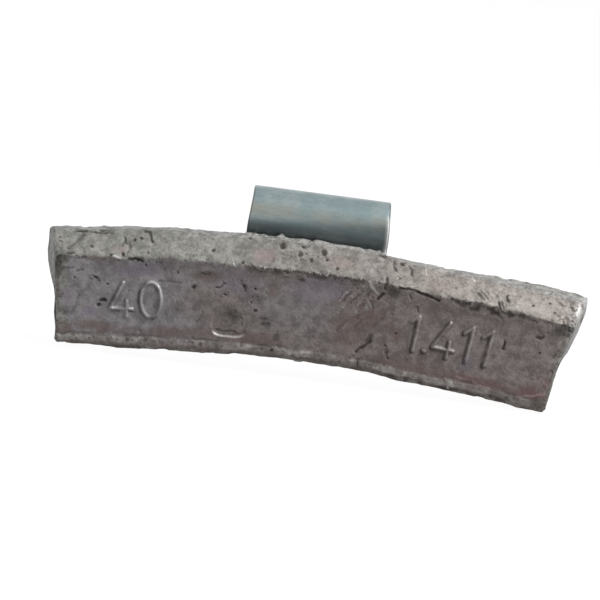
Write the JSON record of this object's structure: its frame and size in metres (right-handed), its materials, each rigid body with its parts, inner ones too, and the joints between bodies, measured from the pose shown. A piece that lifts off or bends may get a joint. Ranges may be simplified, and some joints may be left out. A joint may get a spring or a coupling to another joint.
{
  "type": "wheel balance weight",
  "caption": "Clip-on wheel balance weight: an arched cast lead bar with a bevelled, drafted front, held on a steel rim's flange edge by a rolled spring-steel clip cast into it.",
  "frame": {"origin": "centre of the clip's rolled hook, halfway along the weight, where the edge of the rim flange seats", "axes": "+X along the rim, -Y the marked front that faces away from the wheel, +Z away from the axle; the axle is parallel to Y, below the part"},
  "size_m": [0.0602, 0.0095, 0.0202],
  "materials": {
    "cast_lead": "dull, oxidised as-cast lead with rubbed edges and small pits",
    "plated_steel": "satin zinc plating with a blue-green passivated tint"
  },
  "bodies": {
    "root": {"lead_bar": "cast_lead", "rim_clip": "plated_steel"}
  },
  "joints": []
}
